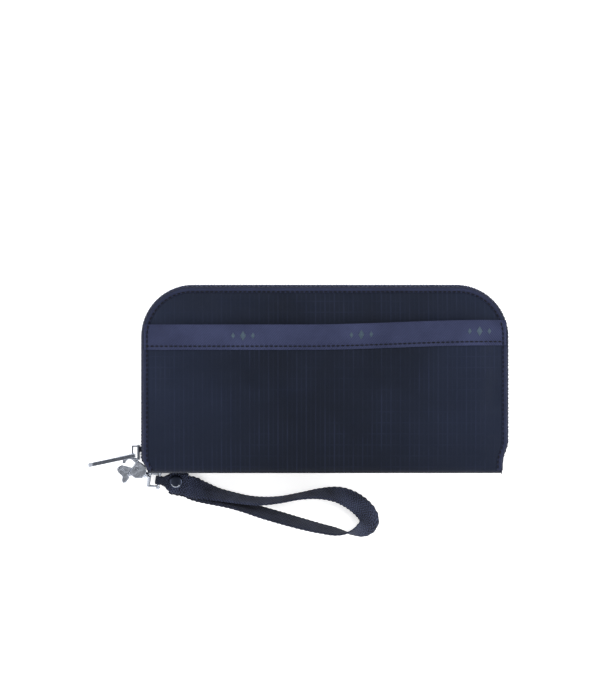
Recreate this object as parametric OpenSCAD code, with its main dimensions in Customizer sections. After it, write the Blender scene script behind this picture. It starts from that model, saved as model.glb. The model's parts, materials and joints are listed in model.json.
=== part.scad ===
// Zip-around wallet with a wrist strap, lying on its back face.
// +X runs along the spine, +Y from the spine to the zipped top, +Z through the thickness.

/* [Wallet] */
// Overall width, zipper included
wallet_w = 196; // [190:1:202]
// Overall height, spine to zipper
wallet_h = 100; // [96:1:104]
// Overall thickness when closed
wallet_t = 25; // [25:0.5:27]
// Radius of the two zipped corners
corner_r = 28; // [22:1:30]
// Extra inset of the outline where the zipper meets the spine
spine_taper = 3; // [2:0.5:4]

/* [Covers] */
// Thickness of the outer fabric
shell_t = 0.8; // [0.6:0.1:1.0]
// Thickness of the foam padding
foam_t = 1.6; // [1.2:0.1:1.8]
// Thickness of the lining
lining_t = 0.4; // [0.3:0.1:0.5]
// Thickness of one card pocket layer
pocket_t = 0.45; // [0.35:0.05:0.5]
// Rise from one card pocket edge to the next
pocket_rise = 11; // [9:0.5:12]
// Height of the ribbon across the front slip pocket
band_h = 13.4; // [12:0.2:15]
// Height of the ribbon's lower edge above the spine
band_y = 65; // [60:0.5:68]

/* [Coin pocket] */
// Width of the coin pocket
coin_w = 168; // [160:1:174]
// Height of the coin pocket
coin_h = 84; // [78:1:86]
// Thickness of the coin pocket, walls included
coin_t = 6.4; // [6:0.1:6.6]

/* [Zipper] */
// Width of one row of teeth, through the thickness
teeth_w = 1.6; // [1.4:0.1:1.8]
// Depth of the rows, across the tape
teeth_d = 2.2; // [2:0.1:2.4]
// Length of the zipper slider
slider_l = 6.5; // [6:0.5:7]
// Length of the zipper puller
puller_l = 25; // [22:0.5:27]

/* [Clasp and strap] */
// Outer radius of the clasp's ring
ring_r = 3.9; // [3.7:0.1:4.1]
// Thickness of the clasp
clasp_t = 3.4; // [3:0.1:3.6]
// Width of the strap webbing
strap_w = 12; // [11:0.5:13]
// Thickness of the strap webbing
strap_t = 1.3; // [1.1:0.1:1.4]
// Diameter of the rivet's caps
rivet_d = 7; // [6:0.5:8]

/* [Hidden] */
$fn = 48;

half_w = wallet_w / 2;
low_y = -wallet_h / 2;
high_y = wallet_h / 2;
mid_z = wallet_t / 2;
cover_inset = 1.8;
tape_t = 0.6;
row_gap = 1.0;
taper_h = 15;
left_taper_h = 8;
zip_low_y = low_y + 5;
navy = [0.15, 0.17, 0.24];
navy_light = [0.25, 0.27, 0.38];
lining_grey = [0.3, 0.32, 0.37];
steel = [0.7, 0.72, 0.75];

// The closed wallet's outline, moved inwards by inset.
module outline(inset) {
    w = half_w - inset;
    top = high_y - inset;
    r = corner_r - inset;
    foot = w - spine_taper;
    polygon([[-foot, low_y], [foot, low_y], [w, low_y + taper_h], [w, top - r], [-w, top - r],
             [-w, low_y + left_taper_h]]);
    translate([-w + r, low_y + taper_h]) square([2 * (w - r), top - low_y - taper_h]);
    for (side = [-1, 1]) translate([side * (w - r), top - r]) circle(r);
}

// A sheet that fills the outline between two heights.
module sheet(inset, z, t, low = low_y) {
    translate([0, 0, z]) linear_extrude(t) intersection() {
        outline(inset);
        translate([-half_w, low]) square([wallet_w, wallet_h]);
    }
}

// A strip that follows the zipped edge on three sides.
module edge_strip(inset, width, z, t) {
    translate([0, 0, z]) linear_extrude(t) difference() {
        intersection() {
            outline(inset);
            translate([-half_w, zip_low_y]) square([wallet_w, wallet_h]);
        }
        outline(inset + width);
    }
}

// ---- Covers: the same stack on each side, mirrored through the middle of the thickness ----
pocket_w = 172;
pocket_low = low_y + 4.5;
pocket_base = 40;
lining_z = shell_t + foam_t;
pocket_z = lining_z + lining_t;

module cover_shell() { color(navy) sheet(cover_inset, 0, shell_t); }
module cover_foam() { color("dimgray") sheet(cover_inset + 1.4, shell_t, foam_t, low_y + 1.5); }
module cover_lining() { color(lining_grey) sheet(cover_inset + 1.4, lining_z, lining_t, low_y + 1.5); }

// Card pocket layer number n, where 1 is the tallest and lies against the lining.
module card_pocket(n) {
    color(lining_grey) translate([-pocket_w / 2, pocket_low, pocket_z + (n - 1) * pocket_t])
        cube([pocket_w, pocket_base + (4 - n) * pocket_rise, pocket_t]);
}

module cover_tape() {
    top = mid_z - row_gap / 2 - teeth_w;
    color(navy_light) edge_strip(cover_inset - tape_t, tape_t, 0.4, top - 0.4);
}

module cover_teeth() {
    color("black") edge_strip(0, teeth_d, mid_z - row_gap / 2 - teeth_w, teeth_w);
}

module to_front() { translate([0, 0, wallet_t]) mirror([0, 0, 1]) children(); }

// ---- Spine: three strips of one fabric, so that each turns with its own body ----
spine_t = 0.8;
spine_gap = 0.3;
spine_low_z = shell_t + 0.1;
spine_w = 2 * (half_w - cover_inset - spine_taper) - 1;
spine_third = (wallet_t - 2 * spine_low_z - 2 * spine_gap) / 3;

module spine_strip(index) {
    z = spine_low_z + index * (spine_third + spine_gap);
    color(navy) translate([-spine_w / 2, low_y + 0.05, z]) cube([spine_w, spine_t, spine_third]);
}

// The stops at the two ends of the zipper, against the inner side of the back cover's row.
module zip_end_stops() {
    color(steel) intersection() {
        edge_strip(teeth_d, 0.7, mid_z - row_gap / 2 - teeth_w, teeth_w);
        translate([-half_w, zip_low_y, 0]) cube([wallet_w, 1.6, wallet_t]);
    }
}

// ---- Coin pocket: the divider between the two bill compartments ----
wall_t = 0.5;
coin_low_z = mid_z - coin_t / 2;
coin_low_y = low_y + 4.5;
coin_zip_y = coin_low_y + coin_h;
coin_row_gap = 0.8;
coin_row_w = 1.2;

module coin_wall(z) {
    color(lining_grey) translate([-coin_w / 2, coin_low_y, z]) cube([coin_w, coin_h, wall_t]);
}
module coin_side_seams() {
    inner = coin_t - 2 * wall_t;
    color(lining_grey) translate([0, 0, coin_low_z + wall_t]) {
        for (side = [-1, 1])
            translate([side * (coin_w / 2 - 0.5) - 0.5, coin_low_y, 0]) cube([1, coin_h - 3.4, inner]);
        translate([-coin_w / 2 + 1, coin_low_y, 0]) cube([coin_w - 2, 1, inner]);
    }
}
module coin_rows(y, height, inset, outer_gap) {
    for (side = [-1, 1]) {
        z = side > 0 ? mid_z + outer_gap : mid_z - outer_gap - inset;
        translate([-coin_w / 2 + 1, y, z]) cube([coin_w - 2, height, inset]);
    }
}
module coin_zip_teeth() {
    color("black") coin_rows(coin_zip_y - 1.6, 1.6, coin_row_w, coin_row_gap / 2);
}
module coin_zip_tapes() {
    reach = coin_t / 2 - wall_t - coin_row_gap / 2 - coin_row_w;
    color(navy_light) coin_rows(coin_zip_y - 1.0, 0.5, reach, coin_row_gap / 2 + coin_row_w);
}

// The folded gussets that hold the divider between the covers near the spine.
module gusset(side) {
    x = side * (coin_w / 2 + 3);
    color(navy) translate([x - 0.4, coin_low_y, mid_z - 3]) cube([0.8, 46, 6]);
    color(navy) translate([min(x, side * coin_w / 2), coin_low_y, mid_z - 0.4]) cube([3, 46, 0.8]);
}

coin_slider_x = -coin_w / 2 + 12;
coin_slider_l = 7;
coin_bail_x = coin_slider_x - 1.5;

module coin_slider() {
    plate = [coin_slider_l, 0.9, 4.6];
    color(steel) translate([coin_slider_x - coin_slider_l / 2, 0, 0]) {
        translate([0, coin_zip_y + 0.15, mid_z - plate[2] / 2]) cube(plate);
        translate([0, coin_zip_y - 2.7, mid_z - plate[2] / 2]) cube(plate);
        translate([2, coin_zip_y - 2.7, mid_z - 0.25]) cube([3, 3.6, 0.5]);
    }
    color(steel) translate([coin_bail_x, coin_zip_y + 1.0, mid_z - 1.8]) difference() {
        translate([-0.6, 0, 0]) cube([1.2, 2.2, 3.6]);
        translate([-1, -0.1, 1]) cube([2, 1.4, 1.6]);
    }
}

// Puller of the coin pocket's zipper, a flat tab with a hole round the slider's bail.
module coin_puller() {
    color(steel) translate([coin_bail_x, coin_zip_y + 1.15, mid_z - 0.45]) difference() {
        union() {
            translate([1.5, -0.05, 0]) cube([11, 1.0, 0.9]);
            translate([-2.2, 0.15, 0]) cube([3.8, 0.8, 0.9]);
        }
        translate([-0.8, -0.2, -1]) cube([1.6, 1.4, 3]);
    }
}

// ---- Front face: slip pocket and its printed ribbon ----
slip_t = 0.5;
band_t = 0.35;
band_low = low_y + band_y;

module slip_pocket() {
    color(navy) translate([0, 0, wallet_t]) linear_extrude(slip_t) intersection() {
        outline(cover_inset + 0.6);
        translate([-half_w, low_y + 0.6]) square([wallet_w, band_y + 1.4]);
    }
}
module pocket_band() {
    color(navy_light) translate([0, 0, wallet_t + slip_t]) linear_extrude(band_t) intersection() {
        outline(cover_inset + 0.6);
        translate([-half_w, band_low]) square([wallet_w, 2]);
    }
    color(navy_light) translate([0, 0, wallet_t]) linear_extrude(slip_t + band_t) intersection() {
        outline(cover_inset + 0.6);
        translate([-half_w, band_low + 2]) square([wallet_w, band_h - 2]);
    }
}

// ---- Zipper slider, bail and puller at the closed end, by the spine ----
slider_y = low_y + 8.2;
crown_extra = 1.6;
plate_t = 0.8;
plate_w = 8;
play = 0.2;
post_t = 0.7;
post_l = 3;
crown_t = 1.3;
bail_y0 = slider_y - 1.5;
bail_span = 7.6;
bail_reach = 3.2;
bail_wire = 0.9;
bail_w = 1.2;
crown_x = -half_w - play - crown_t;
bail_pivot = [crown_x - bail_reach + bail_wire / 2, bail_y0 + 2];

module slider_body() {
    inner_x = -half_w + teeth_d + play;
    color(steel) {
        translate([crown_x, slider_y - crown_extra, mid_z - plate_w / 2])
            cube([crown_t, slider_l + crown_extra, plate_w]);
        translate([inner_x, slider_y, mid_z - plate_w / 2]) cube([plate_t, slider_l, plate_w]);
        translate([crown_x + crown_t, slider_y + slider_l - post_l - 1, mid_z - post_t / 2])
            cube([inner_x - crown_x - crown_t, post_l, post_t]);
    }
}

// The bail, a square arch that stands off the slider.
module slider_bail() {
    color(steel) translate([crown_x - bail_reach, bail_y0, mid_z - bail_w / 2]) difference() {
        cube([bail_reach, bail_span, bail_w]);
        translate([bail_wire, bail_wire, -1])
            cube([bail_reach, bail_span - 2 * bail_wire, bail_w + 2]);
    }
}

puller_t = 2.2;
puller_w = 7.4;
puller_dir = 192;
eye_l = 9;
eye_w = 5.8;

// A flat bar that stands on edge, with a long eye for the bail and the clasp.
module zip_puller() {
    color(steel) translate([bail_pivot[0], bail_pivot[1], mid_z]) rotate([0, 0, puller_dir])
        difference() {
            union() {
                translate([-1.6, -puller_t / 2, -puller_w / 2]) cube([puller_l - 2.7, puller_t, puller_w]);
                translate([puller_l - 4.3, 0, 0]) rotate([90, 0, 0])
                    cylinder(h = puller_t, d = puller_w, center = true);
            }
            translate([-1, -puller_t, -eye_w / 2]) cube([eye_l, 2 * puller_t, eye_w]);
        }
}

// ---- Clasp: local x runs from the ring's centre to the tail ----
clasp_dir = -37;
clasp_drop = 12;
ring_pos = [-104, -45.4, 10.5];
pivot_at = [4.3, 0.3];
pivot_r = 0.8;
slot_t = 1.6;

module at_clasp() { translate(ring_pos) rotate([0, 0, clasp_dir]) rotate([0, clasp_drop, 0]) children(); }

module clasp_plan() {
    difference() {
        union() {
            circle(ring_r);
            polygon([[0.4, ring_r], [7.3, 3.9], [10, 1.9], [10, -2.6], [7, -4.6], [3, -4.6], [1, -3.7]]);
        }
        circle(ring_r - 1.7);
        polygon([[0, 0], [-6, -4.4], [-2, -7], [0.9, -7], [0.9, 0]]);
    }
}

module clasp_body() {
    color(steel) at_clasp() difference() {
        union() {
            translate([0, 0, -clasp_t / 2]) linear_extrude(clasp_t) difference() {
                clasp_plan();
                difference() { circle(ring_r + 1); translate([2.6, -9]) square([9, 18]); }
            }
            translate([0, 0, -0.8]) linear_extrude(1.6) intersection() {
                clasp_plan();
                translate([-6, -6]) square([8.6, 12]);
            }
            translate([10, 0, 0]) rotate([0, 90, 0]) cylinder(h = 1.4, r = 1.7);
        }
        translate([0.9, -7, -slot_t / 2]) cube([7.4, 9.0, slot_t]);
        translate([pivot_at[0], pivot_at[1], -5]) cylinder(h = 10, r = pivot_r);
        translate([8.4, 0, 0]) rotate([0, 90, 0]) cylinder(h = 5, r = 0.85);
    }
}

module clasp_pin() {
    color(steel) at_clasp() translate([pivot_at[0], pivot_at[1], -clasp_t / 2])
        cylinder(h = clasp_t, r = pivot_r);
}

// The spring that pushes the trigger shut, a small coil in the slot.
module clasp_spring() {
    color("gray") at_clasp() translate([6.5, -1.0, 0]) rotate([0, 0, 35]) rotate([0, 90, 0])
        difference() { cylinder(h = 1.1, r = 0.6); translate([0, 0, -1]) cylinder(h = 4, r = 0.35); }
}

// The trigger: a gate that closes the ring, a hub on the pin, and a thumb lever.
module clasp_trigger() {
    color(steel) at_clasp() {
        translate([0, 0, -0.6]) linear_extrude(1.2) difference() {
            union() {
                translate(pivot_at) circle(1.7);
                polygon([[3.2, -1], [5.6, -0.6], [5.2, -4.4], [3.6, -6.2], [-2.6, -6.2], [-3.9, -5.2],
                         [-2.8, -3.2], [-1.2, -2.5], [1.4, -1.5]]);
                polygon([[0.6, -6.2], [3.6, -6.2], [4.3, -9.6], [3.2, -10.6], [2, -9.9]]);
            }
            translate(pivot_at) circle(pivot_r + 0.05);
        }
        for (side = [-1, 1]) translate([0, 0, side * 1.1 - 0.5]) linear_extrude(1)
            polygon([[-3.6, -5.4], [-2.2, -4.9], [2.6, -4.9], [4.4, -6.0], [4.6, -9.4], [3.4, -10.5],
                     [2, -9.6], [1.2, -7.9], [-2.2, -7.4], [-3.6, -6.6]]);
    }
}

// ---- Swivel: a headed post in the clasp's tail, and the loop that holds the strap ----
loop_dir = -8;
loop_w = 6.6;
loop_l = 5;
wire_r = 0.75;
near_w = 1.4;
side_w = 1.1;
bar_pos = [-88.9, -55, 3.1];
loop_rise = 4.2;

module rod(a, b, r) {
    d = b - a;
    len_ab = norm(d);
    translate(a) rotate([0, acos(d[2] / len_ab), atan2(d[1], d[0])]) cylinder(h = len_ab, r = r);
}
bar_side = [-sin(loop_dir), cos(loop_dir), 0];

module swivel_loop() {
    far = [for (side = [-1, 1]) bar_pos + side * loop_w / 2 * bar_side];
    slope = atan2(loop_rise, loop_l);
    arm = norm([loop_l, loop_rise]) + near_w / 2;
    color(steel) {
        rod(far[0] - bar_side * 0.9, far[1] + bar_side * 0.9, wire_r);
        translate(bar_pos) rotate([0, 0, loop_dir]) rotate([0, slope, 0]) {
            for (side = [-1, 1]) translate([-arm, side * loop_w / 2 - side_w / 2, -side_w / 2])
                cube([arm, side_w, side_w]);
            translate([-arm, -loop_w / 2 - side_w / 2, -near_w / 2]) cube([near_w, loop_w + side_w, near_w]);
        }
        at_clasp() translate([8.6, 0, 0]) rotate([0, 90, 0]) cylinder(h = 4.7, r = 0.8);
    }
}

// ---- Wrist strap: webbing that is wrapped round the loop's bar, riveted, and runs in one long loop ----
// Each route point is x, y, the webbing's roll in degrees and its least height. A roll of 0
// lies flat with the outer face up, and 90 stands on edge.
layer = strap_t + 0.15;
tab_z = 1.65;
end_z = tab_z + layer;
top_z = end_z + layer;
route = [
    [-74, -57.9, 0, top_z], [-70, -58.9, 14, top_z], [-66, -60.1, 36, 5.2], [-58, -62.2, 57, 0],
    [-50, -63.8, 65, 0], [-42, -65.2, 70, 0], [-34, -65.9, 72, 0], [-24, -65.2, 76, 0],
    [-13, -63.2, 76, 0], [-3, -62, 66, 0], [6, -62.4, 50, 0], [13, -64.8, 36, 0],
    [19, -68.8, 28, 0], [23.2, -73.6, 25, 0], [23.8, -78, 26, 0], [20.4, -81.2, 40, 0],
    [14, -82.8, 76, 0], [7, -82.4, 104, 0], [-3, -80.4, 112, 0], [-13, -77.9, 116, 0],
    [-24, -74.8, 118, 0], [-34, -71.9, 117, 0], [-42, -69.4, 114, 0], [-50, -67, 115, 0],
    [-58, -64.7, 123, 0], [-66, -61.9, 144, 0], [-70, -60.1, 165, end_z], [-74, -58.3, 180, end_z],
    [-79.6, -57.2, 180, end_z], [-82.5, -56.5, 180, end_z]
];
route_steps = 2;
route_last = len(route) - 1;

function knot(i) = route[max(0, min(route_last, i))];
function curve(a, b, c, d, t) =
    0.5 * (2 * b + (c - a) * t + (2 * a - 5 * b + 4 * c - d) * t * t + (3 * b - a - 3 * c + d) * t * t * t);
function lowest(roll) = strap_w / 2 * sin(roll) + strap_t / 2 * abs(cos(roll)) + 0.15;

centres = [
    for (i = [0 : route_last - 1], k = [0 : route_steps - 1])
        curve(knot(i - 1), knot(i), knot(i + 1), knot(i + 2), k / route_steps),
    knot(route_last)
];
rings = len(centres);
function heading(i) =
    let (d = centres[min(rings - 1, i + 1)] - centres[max(0, i - 1)]) [d[0], d[1]] / norm([d[0], d[1]]);
function ring(i) = let (
    p = centres[i],
    h = heading(i),
    inward = [h[1], -h[0], 0],
    across = cos(p[2]) * inward + [0, 0, sin(p[2])],
    out = -sin(p[2]) * inward + [0, 0, cos(p[2])],
    c = [p[0], p[1], max(p[3], lowest(p[2]))]
) [for (s = [[-1, -1], [1, -1], [1, 1], [-1, 1]]) c + s[0] * strap_w / 2 * across + s[1] * strap_t / 2 * out];

rivet_at = [-79.6, -55.7];
post_r = 1.2;
cap_t = 0.9;

module post_hole() { translate([rivet_at[0], rivet_at[1], -1]) cylinder(h = 20, r = post_r + 0.05); }

module strap_webbing() {
    skin = [
        for (i = [0 : rings - 2], k = [0 : 3]) each let (a = 4 * i + k, b = 4 * i + (k + 1) % 4)
            [[a, a + 4, b + 4], [a, b + 4, b]]
    ];
    n = 4 * (rings - 1);
    color(navy_light) difference() {
        polyhedron([for (i = [0 : rings - 1]) each ring(i)],
                   concat(skin, [[0, 1, 2], [0, 2, 3], [n, n + 2, n + 1], [n, n + 3, n + 2]]));
        post_hole();
    }
}

// The webbing's folded end: over the loop's bar and back under the stack.
tab_dir = -8;
tab_end = 15.4;
wrap_r = (top_z - tab_z) / 2;

module tab_section() {
    for (z = [-wrap_r, wrap_r]) translate([0, z - strap_t / 2]) square([tab_end, strap_t]);
    difference() {
        circle(wrap_r + strap_t / 2);
        circle(wrap_r - strap_t / 2);
        translate([0, -5]) square([10, 10]);
    }
}
module strap_tab() {
    gathered = loop_w / 2 - side_w / 2 - 0.35;
    color(navy_light) difference() {
        translate([bar_pos[0], bar_pos[1], tab_z + wrap_r]) rotate([0, 0, tab_dir]) intersection() {
            rotate([90, 0, 0]) linear_extrude(strap_w, center = true) tab_section();
            translate([0, 0, -5]) linear_extrude(10)
                polygon([[-4, -gathered], [1.6, -gathered], [8, -strap_w / 2], [16, -strap_w / 2],
                         [16, strap_w / 2], [8, strap_w / 2], [1.6, gathered], [-4, gathered]]);
        }
        post_hole();
    }
}
module strap_rivet() {
    foot_z = tab_z - strap_t / 2 - cap_t;
    head_z = top_z + strap_t / 2;
    color("dimgray") translate([rivet_at[0], rivet_at[1], 0]) {
        translate([0, 0, foot_z]) cylinder(h = cap_t, d = rivet_d);
        translate([0, 0, foot_z]) cylinder(h = head_z - foot_z + cap_t, r = post_r);
        translate([0, 0, head_z]) cylinder(h = cap_t, d = rivet_d);
    }
}

cover_shell();  // back_shell
cover_foam();  // back_foam
cover_lining();  // back_lining
card_pocket(1);  // back_card_pocket_1
card_pocket(2);  // back_card_pocket_2
card_pocket(3);  // back_card_pocket_3
card_pocket(4);  // back_card_pocket_4
cover_tape();  // back_zip_tape
cover_teeth();  // back_zip_teeth
zip_end_stops();
spine_strip(0);  // back_spine
spine_strip(1);  // divider_spine
coin_wall(coin_low_z);  // coin_back_wall
coin_wall(coin_low_z + coin_t - wall_t);  // coin_front_wall
coin_side_seams();
gusset(-1);  // gusset_left
gusset(1);  // gusset_right
coin_zip_tapes();
coin_zip_teeth();
coin_slider();
coin_puller();
spine_strip(2);  // front_spine
to_front() cover_shell();  // front_shell
to_front() cover_foam();  // front_foam
to_front() cover_lining();  // front_lining
to_front() card_pocket(1);  // front_card_pocket_1
to_front() card_pocket(2);  // front_card_pocket_2
to_front() card_pocket(3);  // front_card_pocket_3
to_front() card_pocket(4);  // front_card_pocket_4
to_front() cover_tape();  // front_zip_tape
to_front() cover_teeth();  // front_zip_teeth
slip_pocket();
pocket_band();
slider_body();
slider_bail();
zip_puller();
clasp_body();
clasp_pin();
clasp_spring();
clasp_trigger();
swivel_loop();
strap_webbing();
strap_tab();
strap_rivet();
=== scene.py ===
import json
import math
import bpy
import numpy as np
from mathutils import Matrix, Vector, noise


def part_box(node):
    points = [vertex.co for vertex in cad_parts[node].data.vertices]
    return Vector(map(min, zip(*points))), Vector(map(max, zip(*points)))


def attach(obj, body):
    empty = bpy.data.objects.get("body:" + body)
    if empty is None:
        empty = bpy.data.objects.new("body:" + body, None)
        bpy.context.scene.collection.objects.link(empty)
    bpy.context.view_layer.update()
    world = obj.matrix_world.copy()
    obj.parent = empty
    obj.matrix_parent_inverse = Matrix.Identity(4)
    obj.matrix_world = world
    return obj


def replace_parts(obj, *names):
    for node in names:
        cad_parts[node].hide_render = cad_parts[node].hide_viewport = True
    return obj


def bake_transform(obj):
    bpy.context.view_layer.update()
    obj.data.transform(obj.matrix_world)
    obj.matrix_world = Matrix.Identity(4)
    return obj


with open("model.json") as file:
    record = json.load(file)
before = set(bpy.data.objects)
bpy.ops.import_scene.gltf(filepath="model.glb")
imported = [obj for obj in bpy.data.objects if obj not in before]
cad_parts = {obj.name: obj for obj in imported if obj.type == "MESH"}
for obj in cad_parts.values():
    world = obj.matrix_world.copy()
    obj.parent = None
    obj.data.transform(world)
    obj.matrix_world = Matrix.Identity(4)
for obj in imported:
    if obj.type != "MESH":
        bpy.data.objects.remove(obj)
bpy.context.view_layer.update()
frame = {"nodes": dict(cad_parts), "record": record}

# ---------------------------------------------------------------- sizes, all in metres
MM = 0.001
ZIP_BOX, SHELL_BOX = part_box("front_zip_teeth"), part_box("front_shell")
HALF_W, TOP_Y = ZIP_BOX[1][0], ZIP_BOX[1][1]
ZIP_LOW = ZIP_BOX[0][1]
SPINE_Y, FRONT_Z = SHELL_BOX[0][1], SHELL_BOX[1][2]
MID_Z = FRONT_Z / 2
CORNER_R = 28 * MM
# The outline narrows towards the spine: by how much, and where it starts and over what height.
TAPER = 2.7 * MM
RIGHT_TAPER, LEFT_TAPER = (17 * MM, 11 * MM), (8 * MM, 7 * MM)
COVER_INSET = 1.8 * MM
STITCH_PITCH, STITCH_L, THREAD_R = 2.5 * MM, 1.6 * MM, 0.3 * MM
BAND_LOW, BAND_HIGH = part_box("pocket_band")[0][1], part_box("pocket_band")[1][1]


def half_width(y, inset=0.0, side=1):
    """Width at height y on one side of the middle, for the outline moved inwards by inset."""
    w, top, r = HALF_W - inset, TOP_Y - inset, CORNER_R - inset
    start, run = RIGHT_TAPER if side > 0 else LEFT_TAPER
    w -= TAPER * smooth((SPINE_Y + start - y) / run)
    if y > top - r:
        w -= r - math.sqrt(max(0.0, r * r - (y - top + r) ** 2))
    return w


def edge_distance(x, y):
    """Distance from the zipped edge, on the left, the top or the right."""
    qx, qy = abs(x) - (HALF_W - CORNER_R), y - (TOP_Y - CORNER_R)
    if qx > 0 and qy > 0:
        return CORNER_R - math.hypot(qx, qy)
    return min(half_width(y, 0, x) - abs(x), TOP_Y - y)


def edge_length(inset, start_y):
    """Length of the zipped edge from start_y on the left, over the top, to start_y on the right."""
    side = TOP_Y - CORNER_R - start_y
    return 2 * side + math.pi * (CORNER_R - inset) + 2 * (HALF_W - CORNER_R)


def edge_point(s, inset, start_y, edge=-1):
    """Point and outward direction at distance s along the zipped edge, from the spine's left end."""
    r = CORNER_R - inset
    side, arc, top = TOP_Y - CORNER_R - start_y, math.pi * r / 2, 2 * (HALF_W - CORNER_R)
    if s > side + arc + top / 2:
        x, y, nx, ny = edge_point(edge_length(inset, start_y) - s, inset, start_y, 1)
        return -x, y, -nx, ny
    if s <= side:
        y = start_y + s
        return -half_width(y, inset, edge), y, -1.0, 0.0
    if s <= side + arc:
        a = (s - side) / r
        nx, ny = -math.cos(a), math.sin(a)
        return -(HALF_W - CORNER_R) + r * nx, TOP_Y - CORNER_R + r * ny, nx, ny
    return -(HALF_W - CORNER_R) + s - side - arc, TOP_Y - inset, 0.0, 1.0


def smooth(t):
    """0 below t = 0, 1 above t = 1, with a soft step between."""
    t = min(1.0, max(0.0, t))
    return t * t * (3 - 2 * t)


def bump(d, at, width):
    """A soft ridge, 1 high, at one distance."""
    return math.exp(-(((d - at) / width) ** 2))


def ripple(x, y, scale, seed=0.0):
    """Fixed smooth noise from about -1 to 1, with hollows about scale apart."""
    return noise.noise(Vector((x / scale, y / scale, seed)))


# ---------------------------------------------------------------- mesh helpers
def add_mesh(name, verts, faces, material):
    mesh = bpy.data.meshes.new(name)
    mesh.from_pydata([tuple(v) for v in verts], [], faces)
    mesh.validate()
    mesh.materials.append(material)
    mesh.polygons.foreach_set("use_smooth", [True] * len(mesh.polygons))
    obj = bpy.data.objects.new(name, mesh)
    bpy.context.scene.collection.objects.link(obj)
    return obj


def grid_faces(rows, cols, closed=False):
    """Quads over a grid of vertices; closed joins its last column to its first."""
    last = cols if closed else cols - 1
    return [
        (r * cols + c, r * cols + (c + 1) % cols, (r + 1) * cols + (c + 1) % cols, (r + 1) * cols + c)
        for r in range(rows - 1) for c in range(last)
    ]


def slab_faces(rows, cols):
    """Faces of a closed slab whose vertices are a grid and then its copy on the other side."""
    n = rows * cols
    faces = grid_faces(rows, cols)
    faces += [tuple(reversed([i + n for i in f])) for f in grid_faces(rows, cols)]
    rim = list(range(cols)) + [r * cols + cols - 1 for r in range(1, rows)]
    rim += [(rows - 1) * cols + c for c in range(cols - 2, -1, -1)]
    rim += [r * cols for r in range(rows - 2, 0, -1)]
    return faces + [(b, a, a + n, b + n) for a, b in zip(rim, rim[1:] + rim[:1])]


def solid_grid(points, thickness, inward):
    """A closed slab from a grid of points: the grid and a copy moved by inward * thickness."""
    rows, cols = len(points), len(points[0])
    top = [p for row in points for p in row]
    low = [tuple(np.array(p) + np.array(inward) * thickness) for p in top]
    return top + low, slab_faces(rows, cols)


def tube(points, radius, sides=8):
    """Vertices and faces of a round wire along points, in parallel-transported rings."""
    pts = [Vector(p) for p in points]
    count = len(pts)
    verts, normal = [], None
    for i, p in enumerate(pts):
        t = (pts[min(i + 1, count - 1)] - pts[max(i - 1, 0)]).normalized()
        if normal is None:
            normal = t.orthogonal().normalized()
        normal = (normal - t * normal.dot(t)).normalized()
        side = t.cross(normal)
        for k in range(sides):
            a = 2 * math.pi * k / sides
            verts.append(p + (normal * math.cos(a) + side * math.sin(a)) * radius)
    faces = [tuple(reversed(f)) for f in grid_faces(count, sides, closed=True)]
    faces += [tuple(range(sides)), tuple(reversed(range((count - 1) * sides, count * sides)))]
    return verts, faces


def joined(parts):
    """One vertex list and one face list from several."""
    verts, faces = [], []
    for v, f in parts:
        base = len(verts)
        verts += list(v)
        faces += [tuple(i + base for i in face) for face in f]
    return verts, faces


def stitch(p, along, up):
    """One stitch: a short thread that dives into the cloth at both ends."""
    p, along, up = Vector(p), Vector(along), Vector(up)
    steps = 6
    path = []
    for i in range(steps + 1):
        t = i / steps * 2 - 1
        path.append(p + along * t * STITCH_L / 2 + up * THREAD_R * (1.1 - 1.5 * t * t))
    return tube(path, THREAD_R, 6)


# ---------------------------------------------------------------- materials
def linear(r, g, b):
    """Linear colour from 0 to 255 screen values."""
    def one(v):
        v /= 255
        return v / 12.92 if v <= 0.04045 else ((v + 0.055) / 1.055) ** 2.4
    return (one(r), one(g), one(b), 1.0)


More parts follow.
